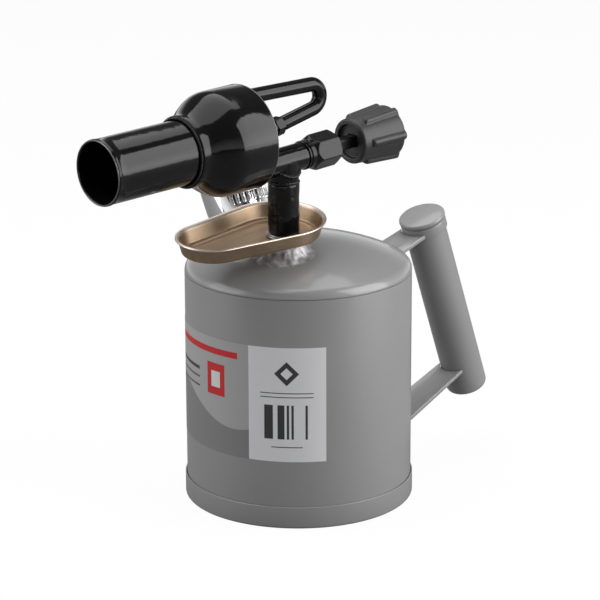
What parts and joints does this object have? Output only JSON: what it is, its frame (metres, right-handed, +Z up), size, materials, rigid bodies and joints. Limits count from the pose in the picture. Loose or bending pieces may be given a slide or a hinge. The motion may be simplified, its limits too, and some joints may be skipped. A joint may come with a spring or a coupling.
{
  "type": "petrol blowlamp",
  "caption": "Petrol blowlamp with a welded round fuel tank, slanted pump handle, priming tray, screw valve with ribbed knob, preheating loop and a horizontal burner tube.",
  "frame": {"origin": "on the ground, under the middle of the whole lamp's bounding box", "axes": "+X from the flame's mouth towards the handle, +Y towards the side with the filler cap, +Z up along the tank's axis"},
  "size_m": [0.2662, 0.1204, 0.219],
  "materials": {
    "grey_enamel": "satin grey enamel",
    "black_enamel": "glossy black enamel",
    "black_plastic": "satin moulded plastic",
    "gold_zinc": "yellow passivated sheet, lightly brushed",
    "bright_steel": "bright steel",
    "chrome": "polished chrome",
    "brass": "turned brass",
    "cast_iron": "dark burnt casting",
    "black_rubber": "black rubber",
    "leather": "oiled leather",
    "graphite": "graphite-soaked packing"
  },
  "bodies": {
    "lamp": {"tank_wall": "grey_enamel", "tank_dome": "grey_enamel", "tank_bottom": "grey_enamel", "riser_boss": "bright_steel", "pickup_tube": "bright_steel", "pickup_strainer": "brass", "priming_tray": "gold_zinc", "tray_washer": "bright_steel", "riser_pipe": "black_enamel", "valve_body": "black_enamel", "gland_nut": "black_enamel", "gland_packing": "graphite", "burner_shell": "black_enamel", "flame_tube": "black_enamel", "vaporiser_body": "cast_iron", "vaporiser_loop": "black_enamel", "jet_holder": "black_enamel", "jet_nozzle": "brass", "loop_union_nut": "black_enamel", "mixing_tube": "bright_steel", "filler_neck": "bright_steel", "pump_barrel": "grey_enamel", "barrel_collar": "grey_enamel", "lower_strap": "grey_enamel", "upper_strap": "grey_enamel", "air_pipe": "grey_enamel", "check_valve_body": "brass", "check_spring": "bright_steel"},
    "valve_needle": {"needle": "bright_steel"},
    "control": {"valve_spindle": "black_enamel", "control_knob": "black_plastic", "knob_screw": "bright_steel"},
    "plunger": {"pump_rod": "bright_steel", "pump_knob": "grey_enamel", "pump_cup": "leather", "upper_cup_washer": "bright_steel", "lower_cup_washer": "bright_steel", "cup_nut": "brass"},
    "filler_seal": {"cap_seal": "black_rubber"},
    "filler_cap_body": {"filler_cap": "chrome"},
    "check_ball_body": {"check_ball": "bright_steel"}
  },
  "joints": [
    {"name": "needle_feed", "type": "slide", "parent": "lamp", "child": "valve_needle", "axis": [0.9986, 0, 0.0523], "range_m": [0, 0.002]},
    {"name": "control_turn", "type": "hinge", "parent": "valve_needle", "child": "control", "pos_m": [0.01146, -0.01466, 0.17887], "axis": [0.9986, 0, 0.0523], "range_deg": [0, 720]},
    {"name": "pump_stroke", "type": "slide", "parent": "lamp", "child": "plunger", "axis": [-0.3338, 0, 0.9426], "range_m": [0, 0.062]},
    {"name": "filler_cap_lift", "type": "slide", "parent": "lamp", "child": "filler_seal", "axis": [0, 0.454, 0.891], "range_m": [0, 0.045]},
    {"name": "filler_cap_turn", "type": "hinge", "parent": "filler_seal", "child": "filler_cap_body", "pos_m": [-0.0021, 0.03778, 0.14179], "axis": [0, 0.454, 0.891], "continuous": true},
    {"name": "check_ball_lift", "type": "slide", "parent": "lamp", "child": "check_ball_body", "axis": [0.3338, 0, -0.9426], "range_m": [0, 0.0012], "stiffness_N_per_m": 60, "springref_m": -0.003, "deforming": ["check_spring"]}
  ],
  "couplings": [
    {"joint": "control_turn", "follows": "needle_feed", "rad_per_m": 6283.2}
  ]
}
